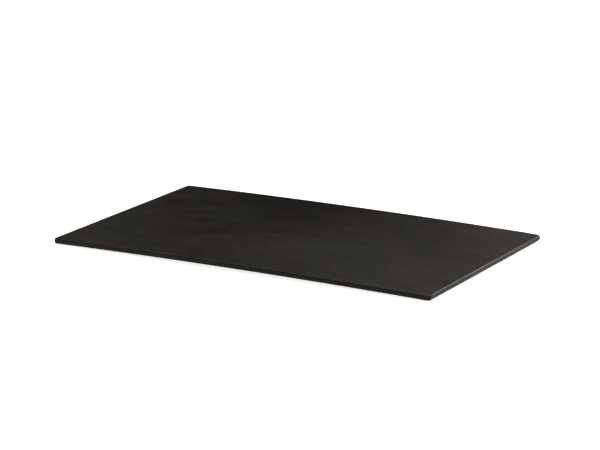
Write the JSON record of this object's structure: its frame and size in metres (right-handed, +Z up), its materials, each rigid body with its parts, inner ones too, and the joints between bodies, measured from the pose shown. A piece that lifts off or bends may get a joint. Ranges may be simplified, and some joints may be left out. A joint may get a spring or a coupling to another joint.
{
  "type": "basalt massage slab",
  "caption": "Thin rectangular slab of honed dark basalt with eased edges and a slight crown along its length, resting on round anti-slip pads.",
  "frame": {"origin": "on the surface that the pads stand on, under the middle of the slab", "axes": "+X along the slab's length, +Y across its width towards the back, +Z up"},
  "size_m": [0.6, 0.4, 0.0126],
  "materials": {
    "honed_basalt": "satin",
    "pad_rubber": "matte"
  },
  "bodies": {
    "root": {"slab": "honed_basalt", "pad_front_left": "pad_rubber", "pad_front_right": "pad_rubber", "pad_back_left": "pad_rubber", "pad_back_right": "pad_rubber"}
  },
  "joints": []
}
